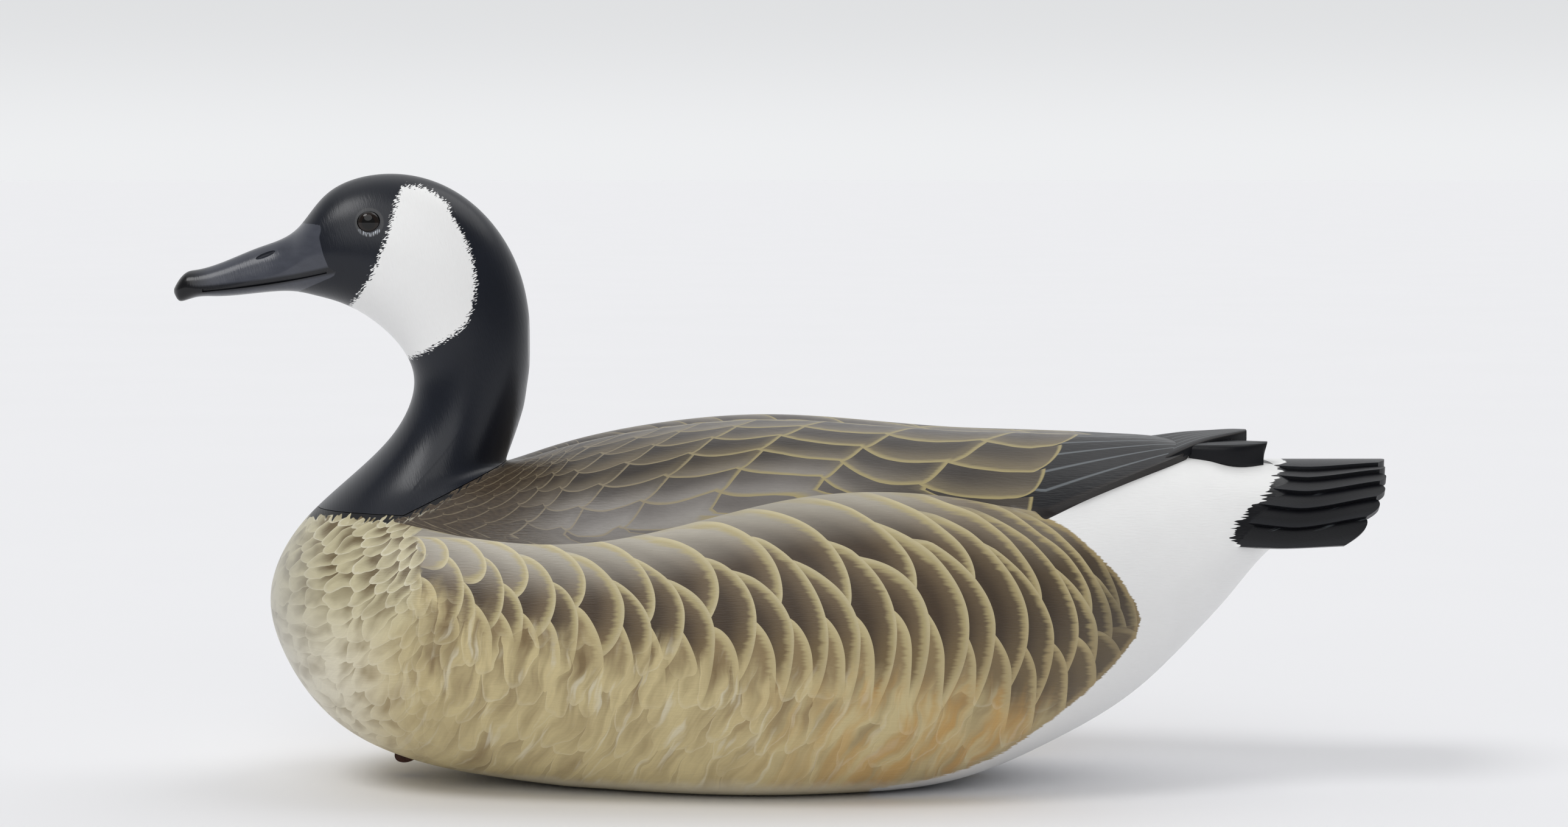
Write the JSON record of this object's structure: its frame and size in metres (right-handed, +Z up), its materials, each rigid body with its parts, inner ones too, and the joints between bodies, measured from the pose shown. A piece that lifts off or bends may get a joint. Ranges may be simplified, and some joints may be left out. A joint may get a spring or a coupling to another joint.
{
  "type": "goose decoy",
  "caption": "Carved and painted wooden goose decoy with a raised head on a long neck, folded wings with crossed tips and a fanned tail, resting on its flat underside.",
  "frame": {"origin": "on the floor under the middle of the length and the middle of the width", "axes": "+X from the bill towards the tail along the length, +Y to the goose's right, +Z up"},
  "size_m": [0.6458, 0.243, 0.3231],
  "materials": {
    "painted_body": "painted, satin",
    "painted_head": "painted, satin",
    "eye_glass": "gloss",
    "tie_leather": "satin"
  },
  "bodies": {
    "root": {"body": "painted_body", "head_and_neck": "painted_head", "eye_left": "eye_glass", "eye_right": "eye_glass", "line_tie": "tie_leather"}
  },
  "joints": []
}
